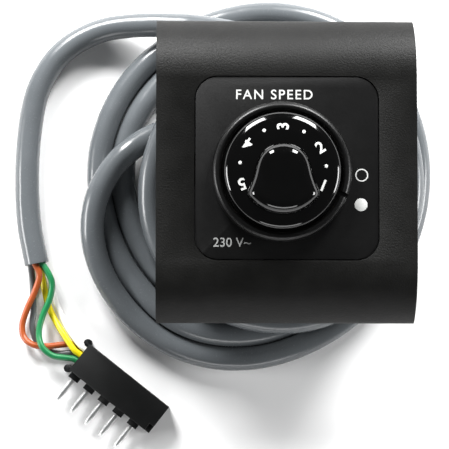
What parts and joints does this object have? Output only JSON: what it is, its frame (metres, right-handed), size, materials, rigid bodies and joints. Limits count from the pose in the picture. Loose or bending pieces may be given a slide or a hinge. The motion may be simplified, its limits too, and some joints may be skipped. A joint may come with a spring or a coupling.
{
  "type": "rotary fan speed control panel",
  "caption": "Flush-mounted rotary fan speed control with an on/off selector ring, arched cover frame, coiled multi-core cable and pin plug.",
  "frame": {"origin": "on the surface the panel lies on, under the middle of the cover frame", "axes": "+Z out of the front of the panel, +Y towards its top edge, +X to its right"},
  "size_m": [0.1143, 0.1195, 0.05],
  "materials": {
    "frame_abs": "fine spark-eroded grain, black ABS",
    "fascia_abs": "very fine matt grain, black ABS",
    "housing_abs": "plain moulded black ABS",
    "zinc_steel": "zinc-plated screw steel",
    "board_laminate": "green solder mask on glass-epoxy laminate",
    "nylon_natural": "natural nylon, as moulded",
    "capacitor_case": "yellow flame-retardant box",
    "epoxy_black": "black moulding compound",
    "ceramic_body": "glazed ceramic coating",
    "pot_can_steel": "tinned steel can",
    "phenolic_wafer": "phenolic paper laminate",
    "carbon_track": "printed carbon",
    "bronze_spring": "phosphor bronze strip",
    "tinned_metal": "tin plate over brass",
    "ring_plastic": "satin black",
    "knob_plastic": "high gloss black",
    "boot_rubber": "matt black rubber",
    "sheath_pvc": "grey PVC sheath, satin",
    "core_white": "white PVC",
    "core_grey": "dark grey PVC",
    "core_yellow": "yellow PVC",
    "core_orange": "brown-orange PVC",
    "core_green": "green PVC",
    "plug_plastic": "black polyamide"
  },
  "bodies": {
    "panel": {"cover_frame": "frame_abs", "fascia": "fascia_abs", "housing_tub": "housing_abs", "rear_cap": "housing_abs", "cap_screw_1": "zinc_steel", "cap_screw_2": "zinc_steel", "board_screw_1": "zinc_steel", "board_screw_2": "zinc_steel", "board_screw_3": "zinc_steel", "board_screw_4": "zinc_steel", "fascia_screw_1": "zinc_steel", "fascia_screw_2": "zinc_steel", "fascia_screw_3": "zinc_steel", "fascia_screw_4": "zinc_steel", "clamp_screw": "zinc_steel", "circuit_board": "board_laminate", "cable_socket": "nylon_natural", "cable_inner_plug": "nylon_natural", "cable_clamp": "nylon_natural", "suppression_capacitor": "capacitor_case", "triac": "epoxy_black", "switch_body": "epoxy_black", "dropper_resistor": "ceramic_body", "pot_housing": "pot_can_steel", "pot_wafer": "phenolic_wafer", "pot_track": "carbon_track", "ring_detent_spring": "bronze_spring", "pot_terminal_1": "tinned_metal", "pot_terminal_2": "tinned_metal", "pot_terminal_3": "tinned_metal", "contact_pin_1": "tinned_metal", "contact_pin_2": "tinned_metal", "contact_pin_3": "tinned_metal", "contact_pin_4": "tinned_metal", "contact_pin_5": "tinned_metal", "cable_boot": "boot_rubber", "cable_lead": "sheath_pvc", "cable_coil": "sheath_pvc", "cable_tail": "sheath_pvc", "inner_core_white": "core_white", "wire_white": "core_white", "inner_core_grey": "core_grey", "wire_grey": "core_grey", "inner_core_yellow": "core_yellow", "wire_yellow": "core_yellow", "inner_core_orange": "core_orange", "wire_orange": "core_orange", "inner_core_green": "core_green", "wire_green": "core_green", "plug_housing": "plug_plastic", "plug_cover": "plug_plastic"},
    "knob": {"speed_knob": "knob_plastic", "knob_spring_clip": "bronze_spring", "pot_shaft": "nylon_natural", "pot_wiper": "bronze_spring"},
    "ring": {"selector_ring": "ring_plastic"},
    "slider": {"switch_slider": "nylon_natural"}
  },
  "joints": [
    {"name": "speed_knob_turn", "type": "hinge", "parent": "panel", "child": "knob", "pos_m": [-0.0014, -0.0012, 0.042], "axis": [0, 0, 1], "range_deg": [-221.4, 0]},
    {"name": "power_ring_turn", "type": "hinge", "parent": "panel", "child": "ring", "pos_m": [-0.0014, -0.0012, 0.038], "axis": [0, 0, 1], "range_deg": [0, 20]},
    {"name": "switch_slide", "type": "slide", "parent": "panel", "child": "slider", "axis": [1, 0, 0], "range_m": [0, 0.0049]}
  ],
  "couplings": [
    {"joint": "switch_slide", "follows": "power_ring_turn", "m_per_rad": 0.01393}
  ]
}
